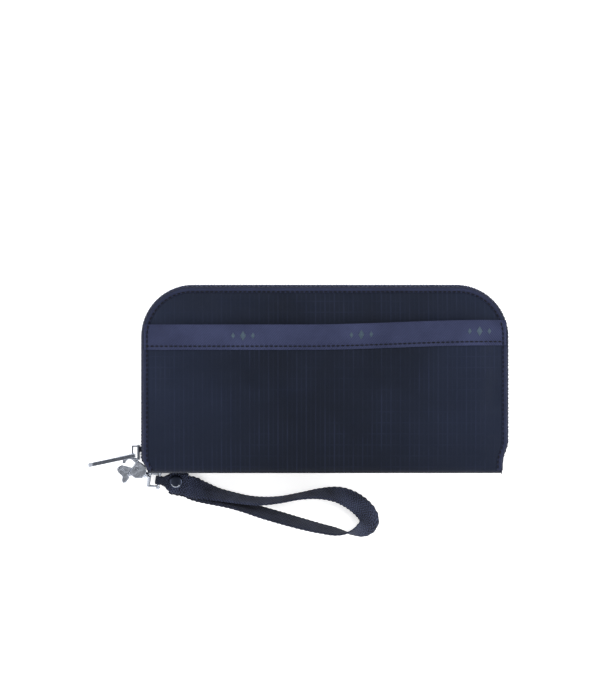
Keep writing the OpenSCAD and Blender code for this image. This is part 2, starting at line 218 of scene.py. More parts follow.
class Shader:
    """A Principled material, with short calls for the nodes that feed it."""

    def __init__(self, name, rough, metal=0.0, sheen=0.0, specular=0.3):
        self.material = bpy.data.materials.new(name)
        self.material.use_nodes = True
        self.tree = self.material.node_tree
        self.out = self.tree.nodes["Principled BSDF"]
        self.out.inputs["Roughness"].default_value = rough
        self.out.inputs["Metallic"].default_value = metal
        self.out.inputs["Sheen Weight"].default_value = sheen
        self.out.inputs["Specular IOR Level"].default_value = specular
        self.place = self.tree.nodes.new("ShaderNodeTexCoord").outputs["Object"]

    def add(self, kind, **inputs):
        node = self.tree.nodes.new(kind)
        for key, value in inputs.items():
            self.feed(node.inputs[int(key[1:]) if key[1:].isdigit() else key.replace("_", " ")], value)
        return node

    def feed(self, socket, value):
        if isinstance(value, bpy.types.NodeSocket):
            self.tree.links.new(value, socket)
        else:
            socket.default_value = value

    def math(self, operation, a, b=0.0, c=0.0):
        node = self.add("ShaderNodeMath", _0=a, _1=b, _2=c)
        node.operation = operation
        return node.outputs[0]

    def split(self, vector=None):
        return self.add("ShaderNodeSeparateXYZ", Vector=vector or self.place).outputs

    def noise(self, scale, detail=2.0, vector=None):
        node = self.add("ShaderNodeTexNoise", Vector=vector or self.place, Scale=scale, Detail=detail)
        return node.outputs["Fac"]

    def line(self, coordinate, period, width, shift=0.0):
        """1 on a thin line at each period, falling to 0 at width from it."""
        turns = self.math("FRACT", self.math("MULTIPLY_ADD", coordinate, 1 / period, shift + 100.5))
        off = self.math("ABSOLUTE", self.math("SUBTRACT", turns, 0.5))
        return self.math("SUBTRACT", 1.0, self.math("SMOOTH_MIN", self.math(
            "MULTIPLY", off, period / width), 1.0, 0.2))

    def wave(self, coordinate, period):
        return self.math("SINE", self.math("MULTIPLY", coordinate, 2 * math.pi / period))

    def remap(self, value, low, high, to_low, to_high):
        node = self.add("ShaderNodeMapRange", _0=value, _1=low, _2=high, _3=to_low, _4=to_high)
        return node.outputs[0]

    def mix(self, factor, a, b):
        node = self.tree.nodes.new("ShaderNodeMix")
        node.data_type = "RGBA"
        self.feed(node.inputs[0], factor)
        self.feed(node.inputs[6], a)
        self.feed(node.inputs[7], b)
        return node.outputs[2]

    def color(self, value):
        self.feed(self.out.inputs["Base Color"], value)

    def rough(self, value):
        self.feed(self.out.inputs["Roughness"], value)

    def relief(self, height, depth, strength=1.0):
        node = self.add("ShaderNodeBump", Height=height, Strength=strength, Distance=depth)
        self.tree.links.new(node.outputs[0], self.out.inputs["Normal"])


RIP_X, RIP_Y = 4.94 * MM, 5.8 * MM


def ripstop_material():
    """Plain-woven nylon with a grid of thicker threads, with painted shade that darkens its middle and its
    foot by the spine.
    """
    s = Shader("ripstop_navy", 0.62, sheen=0.02, specular=0.1)
    x, y, _ = s.split()
    between = s.math("MULTIPLY", s.line(x, RIP_X, 0.4 * MM, 0.5), 0.5)
    upright = s.math("MAXIMUM", s.line(x, RIP_X, 0.5 * MM), between)
    level = s.math("MULTIPLY", s.line(y, RIP_Y, 0.45 * MM), s.remap(s.noise(22.0), 0.4, 0.65, 0.1, 0.7))
    grid = s.math("MAXIMUM", upright, level)
    weave = s.math("MULTIPLY", s.wave(x, 0.62 * MM), s.wave(y, 0.62 * MM))
    # Painted shade: the cloudy tone fades to dark over the 30 mm above the spine, and the middle is painted
    # darker than the sides.
    cloud_and_foot_shade = s.remap(s.noise(28.0, 3.0), 0.3, 0.7, 0.0, 1.0)
    cloud_and_foot_shade = s.math("MULTIPLY", cloud_and_foot_shade, s.remap(y, SPINE_Y, SPINE_Y + 30 * MM, 0.0, 1.0))
    sides = s.remap(s.math("ABSOLUTE", x), 0.25 * HALF_W, 0.85 * HALF_W, 0.0, 0.5)
    tone = s.math("ADD", s.math("MULTIPLY_ADD", cloud_and_foot_shade, 0.35, 0.08), sides)
    cloth = s.mix(tone, linear(6, 11, 22), linear(21, 28, 45))
    thread = s.math("MULTIPLY", grid, s.remap(s.noise(60.0), 0.35, 0.65, 0.06, 0.4))
    s.color(s.mix(thread, cloth, linear(34, 40, 62)))
    s.rough(s.remap(s.noise(90.0), 0.3, 0.7, 0.55, 0.7))
    height = s.math("ADD", s.math("MULTIPLY", grid, 0.7), s.math("MULTIPLY", weave, 0.12))
    s.relief(s.math("ADD", height, s.math("MULTIPLY", s.noise(300.0, 4.0), 0.5)), 0.12 * MM)
    return s.material


def twill_material(name, dark, light, rib=0.9 * MM, depth=0.12 * MM):
    """Twill or grosgrain tape: slanted ribs over a fine weave."""
    s = Shader(name, 0.7, sheen=0.03, specular=0.15)
    x, y, z = s.split()
    slant = s.math("ADD", x, s.math("MULTIPLY", y, 0.6))
    ribs = s.wave(s.math("ADD", slant, z), rib)
    fine = s.math("MULTIPLY", s.wave(x, 0.55 * MM), s.wave(s.math("ADD", y, z), 0.5 * MM))
    tone = s.math("ADD", s.remap(ribs, -1.0, 1.0, 0.2, 0.6), s.math("MULTIPLY", fine, 0.12))
    tone = s.math("MULTIPLY_ADD", s.remap(s.noise(45.0, 3.0), 0.3, 0.7, -0.2, 0.2), 1.0, tone)
    s.color(s.mix(tone, dark, light))
    s.relief(s.math("ADD", s.math("MULTIPLY", ribs, 0.5), s.math("MULTIPLY", fine, 0.3)), depth)
    return s.material


def webbing_material():
    """Herringbone webbing: x of the stored weave runs along the strap, y across it, and z tells its two
    faces apart.
    """
    s = Shader("webbing_navy", 0.75, sheen=0.03, specular=0.15)
    attribute = s.tree.nodes.new("ShaderNodeAttribute")
    attribute.attribute_name = "weave"
    u, v, w = s.split(attribute.outputs["Vector"])
    zig = s.math("PINGPONG", v, 1.6 * MM)
    chevron = s.wave(s.math("ADD", u, zig), 1.5 * MM)
    cord = s.wave(v, 1.0 * MM)
    tone = s.remap(s.math("ADD", chevron, s.math("MULTIPLY", cord, 0.4)), -1.4, 1.4, 0.0, 0.95)
    tone = s.math("ADD", tone, s.remap(s.noise(120.0, 4.0), 0.3, 0.7, -0.2, 0.25))
    # Painted shade: the face where the stored z is -1 is darkened to six tenths of the other face's tone.
    tone = s.math("MULTIPLY", tone, s.remap(w, -0.4, 0.4, 0.6, 1.0))
    s.color(s.mix(tone, linear(6, 9, 19), linear(62, 69, 94)))
    s.relief(s.math("ADD", chevron, s.math("MULTIPLY", cord, 0.5)), 0.3 * MM)
    return s.material


def metal_material(name, color, rough, wear=0.08, dent=500.0, depth=0.02 * MM):
    s = Shader(name, rough, metal=1.0)
    smudge = s.noise(180.0, 3.0)
    s.color(s.mix(smudge, linear(*color), linear(*[min(255, c + 18) for c in color])))
    s.rough(s.remap(smudge, 0.3, 0.7, rough - wear / 2, rough + wear / 2))
    s.relief(s.noise(dent, 2.0), depth)
    return s.material


def plain_cloth(name, dark, light, rough=0.8, scale=0.6 * MM):
    s = Shader(name, rough, sheen=0.03, specular=0.15)
    x, y, z = s.split()
    weave = s.math("MULTIPLY", s.wave(x, scale), s.wave(s.math("ADD", y, z), scale))
    cloud = s.remap(s.noise(70.0, 3.0), 0.3, 0.7, -0.2, 0.3)
    tone = s.math("ADD", s.remap(weave, -1.0, 1.0, 0.2, 0.6), cloud)
    s.color(s.mix(tone, dark, light))
    s.relief(weave, 0.06 * MM)
    return s.material


def coil_material():
    s = Shader("coil_nylon", 0.5, specular=0.2)
    s.color(s.mix(s.noise(200.0), linear(36, 41, 64), linear(62, 69, 100)))
    s.relief(s.noise(900.0), 0.03 * MM)
    return s.material


def foam_material():
    s = Shader("foam_grey", 0.9)
    cells = s.noise(900.0, 4.0)
    s.color(s.mix(cells, linear(90, 90, 94), linear(140, 140, 144)))
    s.relief(cells, 0.2 * MM)
    return s.material


RIPSTOP = ripstop_material()
RIBBON = twill_material("ribbon_twill", linear(24, 29, 52), linear(56, 62, 92))
BINDING = twill_material("binding_twill", linear(22, 27, 46), linear(38, 44, 70), 0.7 * MM)
TAPE = twill_material("zip_tape_weave", linear(18, 21, 38), linear(36, 41, 62), 0.8 * MM)
WEBBING = webbing_material()
NICKEL = metal_material("nickel_plate", (150, 155, 165), 0.16, dent=260.0, depth=0.3 * MM)
RIVET = metal_material("rivet_dark", (52, 58, 74), 0.3)
SPRING = metal_material("spring_wire", (120, 122, 126), 0.35)
LINING = plain_cloth("lining_grey", linear(70, 75, 88), linear(100, 106, 120))
POCKET = plain_cloth("card_pocket_grey", linear(82, 87, 100), linear(112, 118, 132), 0.75, 0.8 * MM)
# Navy thread, made near black as painted shade of the stitch holes.
THREAD_WITH_HOLE_SHADE = plain_cloth("thread_navy_hole_shade", linear(3, 4, 10), linear(10, 12, 22), 0.8, 0.3 * MM)
PRINT = plain_cloth("print_grey_green", linear(52, 66, 80), linear(72, 86, 98), 0.6, 0.5 * MM)
COIL = coil_material()
FOAM = foam_material()

CAD_MATERIALS = {
    "nickel": NICKEL, "rivet_metal": RIVET, "spring_steel": SPRING, "lining": LINING, "foam": FOAM,
    "zip_coil": COIL, "zip_tape": TAPE, "ripstop": RIPSTOP, "ribbon": RIBBON, "webbing": WEBBING,
}
METAL_EDGE = 0.35 * MM
CAST_GRAIN, CLASP_SOFT, METAL_SOFT = 0.12 * MM, 18, 12
CLOTH_EDGE = 0.12 * MM


CAST = [
    "clasp_body", "clasp_trigger", "swivel_loop", "slider_body", "slider_bail", "zip_puller", "coin_slider",
]


def cast(obj):
    """Softens a metal piece all over, as a die casting is, by a fine remesh and a smoothing."""
    remesh = obj.modifiers.new("grain", "REMESH")
    remesh.mode, remesh.voxel_size, remesh.use_smooth_shade = "VOXEL", CAST_GRAIN, True
    soften = obj.modifiers.new("soften", "SMOOTH")
    soften.factor, soften.iterations = 0.5, CLASP_SOFT if "clasp" in obj.name else METAL_SOFT


def dress_cad_nodes():
    """Gives each CAD node its material, and breaks its sharp edges with a small bevel."""
    slots = {row["node"]: row["material_slot"] for row in frame["record"]["subparts"]}
    for name, obj in frame["nodes"].items():
        material = POCKET if "card_pocket" in name else CAD_MATERIALS[slots[name]]
        if obj.material_slots:
            for material_slot in obj.material_slots:
                material_slot.material = material
        else:
            obj.data.materials.append(material)
        if name in CAST:
            cast(obj)
            continue
        bevel = obj.modifiers.new("edges", "BEVEL")
        bevel.width = METAL_EDGE if material is NICKEL else CLOTH_EDGE
        bevel.segments = 3
        bevel.limit_method = "ANGLE"
        bevel.angle_limit = math.radians(35)


# ---------------------------------------------------------------- covers
PIPING_AT, PIPING_W = 1.0 * MM, 0.9 * MM
SEAM_AT, SEAM_W, SEAM_LIFT = 2.6 * MM, 0.45 * MM, 0.32 * MM
BINDING_OUT, BINDING_IN, BINDING_T = 0.25 * MM, 3.1 * MM, 0.3 * MM
FRONT_T, BACK_T, SLIP_T, PADDING_FILL = 0.9 * MM, 0.7 * MM, 0.35 * MM, 0.4
SPINE_R = 4 * MM
EDGE_DROP, EDGE_SOFT = 2.0 * MM, 2.2 * MM
POCKET_LIFT = 1.5 * MM


def cover_height(x, y, seed=0.0):
    """How far the cover's outer face stands out from the flat cover, over the whole panel."""
    d = edge_distance(x, y) - COVER_INSET
    v = y - SPINE_Y
    h = -EDGE_DROP * math.exp(-max(0.0, d) / EDGE_SOFT)
    h += 0.35 * MM * bump(d, PIPING_AT, PIPING_W) - 0.35 * MM * bump(d, SEAM_AT, SEAM_W)
    if v < SPINE_R:
        h -= SPINE_R - math.sqrt(max(0.0, SPINE_R ** 2 - (SPINE_R - v) ** 2))
    inner = smooth((d - SEAM_AT) / (14 * MM)) * smooth((v - 2 * MM) / (14 * MM))
    h += inner * (1.1 * MM + 0.45 * MM * ripple(x, y * 0.35, 24 * MM, seed))
    h += 0.16 * MM * ripple(x, y * 0.2, 4.5 * MM, seed + 3) * smooth(d / (5 * MM))
    return h


def spaced(count, ends):
    """count+1 values from -1 to 1, closer together near the ends."""
    t = np.linspace(-1, 1, count + 1)
    return (1 - ends) * t + ends * np.sin(t * math.pi / 2)


def cover_panel(name, rows, inset, face, height, thickness):
    """A panel across the cover: face is +1 for the front and -1 for the back."""
    points = []
    for y in rows:
        xs = [u * half_width(y, inset, u) for u in spaced(190, 0.75)]
        points.append([(x, y, height(x, y)) for x in xs])
    if face < 0:
        points = [list(reversed(row)) for row in points]
    return add_mesh(name, *solid_grid(points, thickness, (0, 0, -face)), RIPSTOP)


def cover_rows(count):
    """Heights from the spine to the zipped top, closer together round the corners and by the spine."""
    top = TOP_Y - COVER_INSET - 0.02 * MM
    middle = (top + SPINE_Y) / 2
    return [middle + (top - middle) * t for t in spaced(count, 0.9)]


def front_z(x, y):
    """The front cover's outer face."""
    return FRONT_Z + cover_height(x, y)


def back_z(x, y):
    """The back cover's outer face, which is flatter because the wallet lies on it."""
    return 0.55 * MM - 0.5 * min(0.0, cover_height(x, y, 9.0)) + 0.25 * MM * (1 + ripple(x, y, 30 * MM, 4))


def pocket_z(x, y):
    """The slip pocket's outer face: it bags out a little towards its open edge."""
    d = edge_distance(x, y) - COVER_INSET
    rise = smooth((y - SPINE_Y) / (BAND_LOW - SPINE_Y))
    free = smooth((d - SEAM_AT) / (16 * MM))
    return front_z(x, y) + 0.4 * MM + POCKET_LIFT * rise * free + 0.25 * MM * ripple(x, y * 0.3, 18 * MM, 7)


def band_slope(x):
    """The ribbon rises a little towards the right."""
    return 2.4 * MM * smooth((x + 10 * MM) / (95 * MM))


def seam(name, body, path, normal):
    """A row of stitches along path, which is a list of points and directions."""
    parts = [stitch(p, along, normal) for p, along in path]
    obj = add_mesh(name, *joined(parts), THREAD_WITH_HOLE_SHADE)
    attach(obj, body)


def edge_seam(name, body, height, face):
    """The stitches through the binding, all round the zipped edge."""
    inset = COVER_INSET + SEAM_AT
    start, path, s = SPINE_Y + 2 * MM, [], 0.0
    while s < edge_length(inset, start):
        x, y, nx, ny = edge_point(s, inset, start)
        path.append(((x, y, height(x, y) + face * SEAM_LIFT), (-ny, nx, 0)))
        s += STITCH_PITCH
    seam(name, body, path, (0, 0, face))


def binding(name, body, height, face):
    """The tape bound over the cover's edge, from the zipper in to the stitches."""
    start = SPINE_Y + 1.5 * MM
    length = edge_length(COVER_INSET, start)
    count = int(length / (1.5 * MM))
    points = []
    for d in np.linspace(-BINDING_OUT, BINDING_IN, 10):
        row = []
        for i in range(count + 1):
            x, y, nx, ny = edge_point(length * i / count, COVER_INSET, start)
            x, y = x - nx * d, y - ny * d
            roll = 0.9 * MM * smooth(1 - d / (0.7 * MM)) ** 2
            row.append((x, y, height(x, y) + face * (0.28 * MM - roll)))
        points.append(row if face > 0 else row[::-1])
    obj = add_mesh(name, *solid_grid(points, BINDING_T, (0, 0, -face)), BINDING)
    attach(obj, body)


def front_face(x, y):
    """The front's outer cloth without the ribbon: the cover, or the slip pocket over it."""
    return max(front_z(x, y), pocket_z(x, y)) if y < BAND_LOW + band_slope(x) else front_z(x, y)


def front_top(x, y):
    """The outermost cloth of the front, with the ribbon."""
    t = (y - BAND_LOW - band_slope(x)) / (BAND_HIGH - BAND_LOW)
    return max(front_face(x, y), band_point(x, t)[2]) if 0 <= t <= 1 else front_face(x, y)


def build_covers():
    rows = cover_rows(150)
    front = cover_panel("front_panel", rows, COVER_INSET, 1, front_z, FRONT_T)
    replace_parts(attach(front, "front_cover"), "front_shell", "front_foam")
    back = cover_panel("back_panel", rows, COVER_INSET, -1, back_z, BACK_T)
    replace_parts(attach(back, "back_cover"), "back_shell", "back_foam")
    low, high = SPINE_Y + 0.6 * MM, BAND_LOW + 3 * MM
    pocket_rows = [low + (high - low) * t for t in np.linspace(0, 1, 110)]
    pocket = cover_panel("slip_pocket_panel", pocket_rows, COVER_INSET + 0.5 * MM, 1, pocket_z, SLIP_T)
    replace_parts(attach(pocket, "front_cover"), "slip_pocket")
    edge_seam("front_edge_seam", "front_cover", front_top, 1)
    binding("front_binding", "front_cover", front_face, 1)
    binding("back_binding", "back_cover", back_z, -1)
    edge_seam("back_edge_seam", "back_cover", back_z, -1)


# ---------------------------------------------------------------- ribbon across the slip pocket
BAND_T, BAND_SEAM = 0.4 * MM, 0.15
MARK_PITCH, MARK_SHIFT, MARK_STEP = 62 * MM, -43 * MM, 5.2 * MM
DIAMOND_W, DIAMOND_H = 3.2 * MM, 5.2 * MM


def band_point(x, t):
    """Point on the ribbon's face, t from 0 at its lower edge to 1 at its upper one."""
    y = BAND_LOW + (BAND_HIGH - BAND_LOW) * t + band_slope(x)
    curl = 0.25 * MM * smooth((t - 0.6) / 0.4)
    z = pocket_z(x, min(y, BAND_LOW + band_slope(x))) + BAND_T + curl
    return (x, y, z + 0.08 * MM * ripple(x, y, 5 * MM, 2))


def build_band():
    points = []
    for t in np.linspace(0, 1, 18):
        w = half_width(BAND_LOW, COVER_INSET + 0.9 * MM)
        points.append([band_point(u * w, t) for u in spaced(240, 0.5)])
    band = add_mesh("pocket_ribbon", *solid_grid(points, BAND_T, (0, 0, -1)), RIBBON)
    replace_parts(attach(band, "front_cover"), "pocket_band")
    w = half_width(BAND_LOW, COVER_INSET + 3 * MM)
    path = [(band_point(x, BAND_SEAM), (1, 0.02, 0)) for x in np.arange(-w, w, STITCH_PITCH)]
    seam("ribbon_seam_low", "front_cover", path, (0, 0, 1))
    marks = []
    for k in range(-1, 3):
        for i in (-1, 0, 1):
            x = MARK_SHIFT + k * MARK_PITCH + i * MARK_STEP
            if abs(x) < w - 4 * MM:
                size = 1.0 if i == 0 else 0.65
                marks.append(diamond(x, DIAMOND_W * size, DIAMOND_H * size))
    prints = add_mesh("ribbon_print", *joined(marks), PRINT)
    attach(prints, "front_cover")


def diamond(x, width, height):
    """A flat printed diamond that follows the ribbon, as a thin closed slab."""
    span = BAND_HIGH - BAND_LOW
    ring = [(0, -1), (0.5, 0), (0, 1), (-0.5, 0)]
    top = [Vector(band_point(x + dx * width, 0.56 + dy * height / 2 / span)) for dx, dy in ring]
    verts = [v + Vector((0, 0, 0.03 * MM)) for v in top] + [v - Vector((0, 0, 0.15 * MM)) for v in top]
    faces = [(0, 1, 2, 3), (7, 6, 5, 4)] + [((i + 1) % 4, i, i + 4, (i + 1) % 4 + 4) for i in range(4)]
    return verts, faces


# ---------------------------------------------------------------- zipper
TAPE_T, TAPE_LOW, TAPE_ROWS = 0.5 * MM, SPINE_Y + 0.8 * MM, 10
TOOTH_PITCH = 1.7 * MM
ROW_MESH, PARTED_L, MESH_RUN = 0.5 * MM, 15.5 * MM, 4 * MM
COIL_REACH, COIL_STEPS = 0.55 * MM, 8
COIL_OUT, COIL_R = 1.1 * MM, 0.4 * MM
TEETH = {"back": (10.4 * MM, 12.1 * MM), "front": (12.9 * MM, 14.6 * MM)}
TAPE_Z = {"back": (0.9 * MM, 11.2 * MM), "front": (FRONT_Z - 0.9 * MM, 13.8 * MM)}


def zip_tape(side, body):
    """The cloth strip from a cover's edge to its coil, bulging outwards a little, with a lip."""
    z_out, z_in = TAPE_Z[side]
    length = edge_length(COVER_INSET, TAPE_LOW)
    count = int(length / (1.6 * MM))
    verts, inner = [], []
    for t in np.linspace(0, 1, TAPE_ROWS):
        z = z_out + (z_in - z_out) * t
        inset = COVER_INSET + 0.35 * MM - 0.52 * MM * math.sin(math.pi * t)
        inset += (COIL_OUT - inset) * smooth((t - 0.7) / 0.3)
        for i in range(count + 1):
            x, y, nx, ny = edge_point(length * i / count, inset, TAPE_LOW)
            verts.append((x, y, z))
            inner.append((x - nx * TAPE_T, y - ny * TAPE_T, z))
    faces = slab_faces(TAPE_ROWS, count + 1)
    if side == "back":
        faces = [tuple(reversed(f)) for f in faces]
    tape = add_mesh(f"{side}_zip_tape_cloth", verts + inner, faces, TAPE)
    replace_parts(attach(tape, body), f"{side}_zip_tape")


def zip_coil(side, body):
    """One row's coiled monofilament, a flattened helix that meets the other row past the slider."""
    low, high = TEETH[side]
    length = edge_length(COIL_OUT, ZIP_LOW)
    turns = int(length / TOOTH_PITCH)
    shift = 0.0 if side == "back" else 0.5
    points = []
    for i in range(turns * COIL_STEPS + 1):
        a = 2 * math.pi * (i / COIL_STEPS + shift)
        s = length * i / (turns * COIL_STEPS)
        reach = COIL_REACH * math.sin(a)
        x, y, nx, ny = edge_point(s, COIL_OUT, ZIP_LOW)
        middle, half = (low + high) / 2, (high - low) / 2 - COIL_R
        mesh = ROW_MESH * smooth((s - PARTED_L) / MESH_RUN) * (1 if side == "back" else -1)
        points.append((x + nx * reach, y + ny * reach, middle + mesh + half * math.cos(a)))
    coil = add_mesh(f"{side}_zip_coil", *tube(points, COIL_R, 5), COIL)
    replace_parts(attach(coil, body), f"{side}_zip_teeth")


def zip_stitches(side, body):
    """The row of stitches that holds the tape to the cover's edge."""
    z = 3.0 * MM if side == "back" else FRONT_Z - 3.0 * MM
    path, s = [], 2 * MM
    length = edge_length(COVER_INSET, ZIP_LOW)
    while s < length:
        x, y, nx, ny = edge_point(s, COVER_INSET - 0.02 * MM, ZIP_LOW)
        path.append(((x, y, z), (-ny, nx, 0), (nx, ny, 0)))
        s += STITCH_PITCH
    parts = [stitch(p, along, out) for p, along, out in path]
    obj = add_mesh(f"{side}_tape_seam", *joined(parts), THREAD_WITH_HOLE_SHADE)
    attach(obj, body)


def build_zip():
    """Tape, coil and stitches on both sides of the opening."""
    for side, body in (("back", "back_cover"), ("front", "front_cover")):
        zip_tape(side, body)
        zip_coil(side, body)
        zip_stitches(side, body)


# ---------------------------------------------------------------- spine and gussets
CLOTH_T, GUSSET_T = 0.5 * MM, 0.35 * MM
SPINE_Z, SPINE_LAP = 0.9 * MM, 0.05 * MM


def spine_half(name, z_a, z_b, nodes):
    """One half of the cloth spine, a shallow bow between two bodies."""
    w = half_width(SPINE_Y, COVER_INSET) - 0.2 * MM
    points = []
    for t in np.linspace(0, 1, 14):
        z = z_a + (z_b - z_a) * t
        off = (z - MID_Z) / MID_Z
        y = SPINE_Y + 0.55 * MM + 2.2 * MM * smooth((abs(off) - 0.62) / 0.38) ** 2
        row = []
        for u in np.linspace(-1, 1, 90):
            x = u * w
            row.append((x, y + 0.15 * MM * ripple(x, z, 9 * MM, 5), z))
        points.append(row)
    obj = add_mesh(name, *solid_grid(points, CLOTH_T, (0, 1, 0)), RIPSTOP)
    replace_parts(obj, *nodes)
    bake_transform(obj)


def gusset(name, side, z_a, z_b, nodes):
    """Half of a side gusset: a soft fold that points inwards between a cover and the middle pocket."""
    low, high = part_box("gusset_left")
    outer = -low[0]
    points = []
    for t in np.linspace(0, 1, 10):
        z = z_a + (z_b - z_a) * t
        fold = math.sin(math.pi * t)
        row = []
        for v in np.linspace(0, 1, 40):
            y = low[1] + (high[1] - low[1]) * v
            row.append((side * (outer - 1.2 * MM - 2.0 * MM * fold), y, z))
        points.append(row)
    obj = add_mesh(name, *solid_grid(points, GUSSET_T, (-side, 0, 0)), LINING)
    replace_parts(obj, *nodes)
    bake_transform(obj)


def build_spine():
    spine_half("spine_back", SPINE_Z, MID_Z + SPINE_LAP,
               ["back_spine", "divider_spine"])
    spine_half("spine_front", MID_Z - SPINE_LAP, FRONT_Z - SPINE_Z,
               ["front_spine"])
    for side, word in ((-1, "left"), (1, "right")):
        gusset(f"gusset_{word}_back", side, 5.2 * MM, 9.4 * MM, [f"gusset_{word}"])
        gusset(f"gusset_{word}_front", side, 15.6 * MM, 19.8 * MM, [])


# ---------------------------------------------------------------- card pockets
HEM_W, HEM_T = 1.6 * MM, 0.16 * MM


def build_hems():
    """The bound top edge of each card pocket, and the stitches that part the cards, on both covers."""
    for word, face in (("back", 1), ("front", -1)):
        for n in range(1, 5):
            low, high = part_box(f"{word}_card_pocket_{n}")
            z = high[2] if face > 0 else low[2]
            rows = []
            for v, lift in ((0, 0.3), (0.15, 1), (0.85, 1), (1, 0.3)):
                y = high[1] - HEM_W * v
                rows.append([(x, y, z + face * HEM_T * lift) for x in np.linspace(low[0], high[0], 24)])
            if face > 0:
                rows = rows[::-1]
            hem = add_mesh(f"{word}_hem_{n}", *solid_grid(rows, HEM_T * 1.2, (0, 0, -face)), BINDING)
            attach(hem, f"{word}_cover")
        ys = np.arange(low[1] + 2 * MM, high[1] - 2 * MM, STITCH_PITCH)
        seam(f"{word}_pocket_seam", f"{word}_cover", [((0, y, z), (0, 1, 0)) for y in ys], (0, 0, face))


# ---------------------------------------------------------------- wrist strap
STRAP_W, STRAP_T = 12 * MM, 1.3 * MM
TAB_Z = 1.65 * MM
LAYER = STRAP_T + 0.15 * MM
TAB_TURN = math.radians(-8)
LOOP_Z, KNOB_OUT, KNOB_R = 3.1 * MM, 4.0 * MM, 1.05 * MM
END_Z, TOP_Z = TAB_Z + LAYER, TAB_Z + 2 * LAYER
BAR = Vector((-88.9 * MM, -55.0 * MM, 0))
RIVET_AT = Vector((-79.6 * MM, -55.7 * MM, 0))
SCALLOP, SCALLOP_PITCH = 0.4 * MM, 2.6 * MM
ROUTE = [
    (-74, -57.9, 0, TOP_Z), (-70, -58.9, 14, TOP_Z), (-66, -60.1, 36, 5.2 * MM), (-58, -62.2, 57, 0),
    (-50, -63.8, 65, 0), (-42, -65.2, 70, 0), (-34, -65.9, 72, 0), (-24, -65.2, 76, 0),
    (-13, -63.2, 76, 0), (-3, -62, 66, 0), (6, -62.4, 50, 0), (13, -64.8, 36, 0),
    (19, -68.8, 28, 0), (23.2, -73.6, 25, 0), (23.8, -78, 26, 0), (20.4, -81.2, 40, 0),
    (14, -82.8, 76, 0), (7, -82.4, 104, 0), (-3, -80.4, 112, 0), (-13, -77.9, 116, 0),
    (-24, -74.8, 118, 0), (-34, -71.9, 117, 0), (-42, -69.4, 114, 0), (-50, -67, 115, 0),
    (-58, -64.7, 123, 0), (-66, -61.9, 144, 0), (-70, -60.1, 165, END_Z), (-74, -58.3, 180, END_Z),
    (-79.6, -57.2, 180, END_Z), (-82.5, -56.5, 180, END_Z),
]


def catmull(a, b, c, d, t):
    """The smooth curve's point between b and c at t, from 0 to 1."""
    square, cube = 2 * a - 5 * b + 4 * c - d, 3 * b - a - 3 * c + d
    return 0.5 * (2 * b + (c - a) * t + square * t * t + cube * t ** 3)


def strap_frames():
    """Centre, across and out directions, and half width, all along the webbing and its folded end."""
    knots = [np.array([x * MM, y * MM, roll, least]) for x, y, roll, least in ROUTE]
    raw = []
    for i in range(len(knots) - 1):
        a, b = knots[max(0, i - 1)], knots[i]
        c, d = knots[i + 1], knots[min(len(knots) - 1, i + 2)]
        raw += [catmull(a, b, c, d, k / 10) for k in range(10)]
    raw.append(knots[-1])
    frames = []
    for i, p in enumerate(raw):
        ahead, behind = raw[min(i + 1, len(raw) - 1)], raw[max(0, i - 1)]
        h = (ahead - behind)[:2]
        h /= np.linalg.norm(h)
        roll = math.radians(p[2])
        lowest = STRAP_W / 2 * math.sin(roll) + STRAP_T / 2 * abs(math.cos(roll)) + 0.15 * MM
        inward = Vector((h[1], -h[0], 0))
        across = inward * math.cos(roll) + Vector((0, 0, math.sin(roll)))
        out = inward * -math.sin(roll) + Vector((0, 0, math.cos(roll)))
        centre = Vector((p[0], p[1], max(p[3], lowest)))
        frames.append((centre, across, out, STRAP_W / 2))
    return frames


def tab_frames():
    """The folded end: a top layer to the bar, round it, and back underneath."""
    along = Vector((math.cos(TAB_TURN), math.sin(TAB_TURN), 0))
    side = Vector((along.y, -along.x, 0))
    radius = (TOP_Z - TAB_Z) / 2
    middle = Vector((BAR.x, BAR.y, TAB_Z + radius))
    frames = []

    def gather(d):
        return 2.4 * MM + (STRAP_W / 2 - 2.4 * MM) * smooth((d - 1.6 * MM) / (6.4 * MM))

    for d in np.linspace(15.4 * MM, 0, 26):
        frames.append((middle + along * d + Vector((0, 0, radius)), side, Vector((0, 0, 1)), gather(d)))
    for a in np.linspace(90, 270, 15)[1:-1]:
        spin = math.radians(a)
        out = along * math.cos(spin) + Vector((0, 0, math.sin(spin)))
        frames.append((middle + out * radius, side, out, gather(0)))
    for d in np.linspace(0, 15.4 * MM, 26):
        frames.append((middle + along * d - Vector((0, 0, radius)), side, Vector((0, 0, -1)), gather(d)))
    return frames


